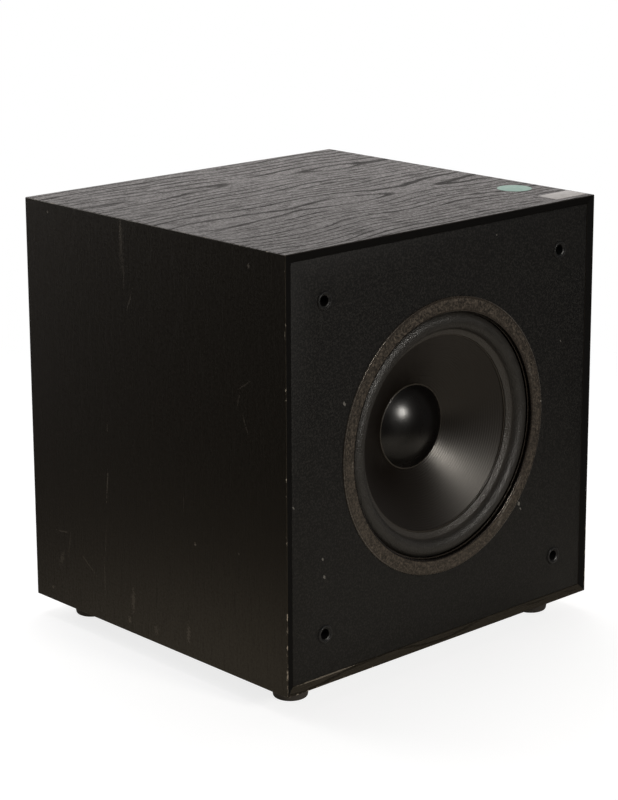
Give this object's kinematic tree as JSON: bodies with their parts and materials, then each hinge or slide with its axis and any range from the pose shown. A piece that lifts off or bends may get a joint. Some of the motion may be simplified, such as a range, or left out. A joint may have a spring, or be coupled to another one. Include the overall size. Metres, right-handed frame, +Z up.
{
  "type": "powered subwoofer",
  "caption": "Square black sealed loudspeaker cabinet for low bass: one large cone driver in a bevelled front, round feet, and a plate amplifier with controls and connectors at the rear.",
  "frame": {"origin": "on the floor under the centre of the bounding box, which includes the heat sink's reach behind the cabinet", "axes": "+Z up, +X to the right of a listener facing the driver, and the driver faces -Y"},
  "size_m": [0.381, 0.378, 0.3993],
  "materials": {
    "cabinet_vinyl": "black ash-grain vinyl wrap over board, satin, worn at the edges",
    "baffle_vinyl": "finely pebbled black vinyl over board, matte",
    "rear_vinyl": "black vinyl over board, matte",
    "bare_board": "bare fibreboard",
    "foot_rubber": "moulded black rubber, matte",
    "screw_steel": "black-oxide steel",
    "socket_plastic": "moulded black plastic",
    "ring_gasket": "grey-brown grained composition gasket, matte",
    "basket_steel": "black powder coat",
    "surround_rubber": "butyl rubber, soft sheen",
    "cone_polypropylene": "black polypropylene with very fine turned lines",
    "cap_gloss": "polished black",
    "coil_copper": "enamelled copper on an aluminium former",
    "spider_cloth": "resin-dipped corrugated cloth",
    "plate_steel": "zinc-plated steel",
    "magnet_ferrite": "ground ferrite",
    "amp_paint": "fine-textured black powder coat",
    "gasket_foam": "closed-cell foam",
    "heat_sink_aluminium": "black anodised extrusion",
    "circuit_board": "green solder mask",
    "capacitor_sleeve": "shrink sleeve with a bare aluminium end",
    "transformer_tape": "polyester tape over copper windings and a steel core",
    "pot_steel": "nickel-plated steel",
    "knob_plastic": "moulded black plastic, satin",
    "inlet_plastic": "moulded black plastic",
    "lever_red": "moulded red plastic",
    "lever_black": "moulded black plastic",
    "led_lens": "tinted clear plastic, unlit"
  },
  "bodies": {
    "cabinet": {"top_panel": "cabinet_vinyl", "left_side_panel": "cabinet_vinyl", "bottom_panel": "cabinet_vinyl", "right_side_panel": "cabinet_vinyl", "front_baffle": "baffle_vinyl", "rear_panel": "rear_vinyl", "cross_brace": "bare_board", "foot_front_left": "foot_rubber", "foot_front_right": "foot_rubber", "foot_rear_left": "foot_rubber", "foot_rear_right": "foot_rubber", "foot_screw_front_left": "screw_steel", "foot_screw_front_right": "screw_steel", "foot_screw_rear_left": "screw_steel", "foot_screw_rear_right": "screw_steel", "grille_socket_upper_left": "socket_plastic", "grille_socket_upper_right": "socket_plastic", "grille_socket_lower_left": "socket_plastic", "grille_socket_lower_right": "socket_plastic", "trim_ring": "ring_gasket", "basket": "basket_steel", "surround": "surround_rubber", "spider": "spider_cloth", "top_plate": "plate_steel", "magnet": "magnet_ferrite", "back_plate": "plate_steel", "terminal_strip": "bare_board", "amp_plate": "amp_paint", "amp_gasket": "gasket_foam", "amp_screw_1": "screw_steel", "amp_screw_2": "screw_steel", "amp_screw_3": "screw_steel", "amp_screw_4": "screw_steel", "amp_screw_5": "screw_steel", "amp_screw_6": "screw_steel", "heat_sink": "heat_sink_aluminium", "amp_board": "circuit_board", "filter_capacitor_1": "capacitor_sleeve", "filter_capacitor_2": "capacitor_sleeve", "transformer": "transformer_tape", "level_pot": "pot_steel", "crossover_pot": "pot_steel", "phase_switch": "pot_steel", "power_switch": "knob_plastic", "mains_inlet": "inlet_plastic", "line_jacks": "inlet_plastic", "speaker_terminals": "inlet_plastic", "power_led": "led_lens"},
    "cone_assembly": {"cone": "cone_polypropylene", "dust_cap": "cap_gloss", "voice_coil": "coil_copper"},
    "level_knob": {"level_knob": "knob_plastic"},
    "crossover_knob": {"crossover_knob": "knob_plastic"},
    "phase_slider": {"phase_slider": "knob_plastic"},
    "power_rocker": {"power_rocker": "knob_plastic"},
    "speaker_lever_1": {"speaker_lever_1": "lever_red"},
    "speaker_lever_2": {"speaker_lever_2": "lever_black"},
    "speaker_lever_3": {"speaker_lever_3": "lever_red"},
    "speaker_lever_4": {"speaker_lever_4": "lever_black"}
  },
  "joints": [
    {"name": "cone_travel", "type": "slide", "parent": "cabinet", "child": "cone_assembly", "axis": [0, -1, 0], "range_m": [-0.006, 0.006], "stiffness_N_per_m": 3000, "deforming": ["surround", "spider"]},
    {"name": "level_knob_turn", "type": "hinge", "parent": "cabinet", "child": "level_knob", "pos_m": [0.062, 0.16665, 0.2268], "axis": [0, -1, 0], "range_deg": [-150, 150]},
    {"name": "crossover_knob_turn", "type": "hinge", "parent": "cabinet", "child": "crossover_knob", "pos_m": [0.018, 0.16665, 0.2268], "axis": [0, -1, 0], "range_deg": [-150, 150]},
    {"name": "phase_slide", "type": "slide", "parent": "cabinet", "child": "phase_slider", "axis": [1, 0, 0], "range_m": [0, 0.006]},
    {"name": "power_rocker_tilt", "type": "hinge", "parent": "cabinet", "child": "power_rocker", "pos_m": [-0.062, 0.16665, 0.1508], "axis": [-1, 0, 0], "range_deg": [0, 16]},
    {"name": "speaker_lever_1_press", "type": "hinge", "parent": "cabinet", "child": "speaker_lever_1", "pos_m": [0.016, 0.17565, 0.1228], "axis": [1, 0, 0], "range_deg": [0, 12], "stiffness_Nm_per_rad": 0.1, "springref_deg": -5.73},
    {"name": "speaker_lever_2_press", "type": "hinge", "parent": "cabinet", "child": "speaker_lever_2", "pos_m": [0.032, 0.17565, 0.1228], "axis": [1, 0, 0], "range_deg": [0, 12], "stiffness_Nm_per_rad": 0.1, "springref_deg": -5.73},
    {"name": "speaker_lever_3_press", "type": "hinge", "parent": "cabinet", "child": "speaker_lever_3", "pos_m": [0.048, 0.17565, 0.1228], "axis": [1, 0, 0], "range_deg": [0, 12], "stiffness_Nm_per_rad": 0.1, "springref_deg": -5.73},
    {"name": "speaker_lever_4_press", "type": "hinge", "parent": "cabinet", "child": "speaker_lever_4", "pos_m": [0.064, 0.17565, 0.1228], "axis": [1, 0, 0], "range_deg": [0, 12], "stiffness_Nm_per_rad": 0.1, "springref_deg": -5.73}
  ]
}
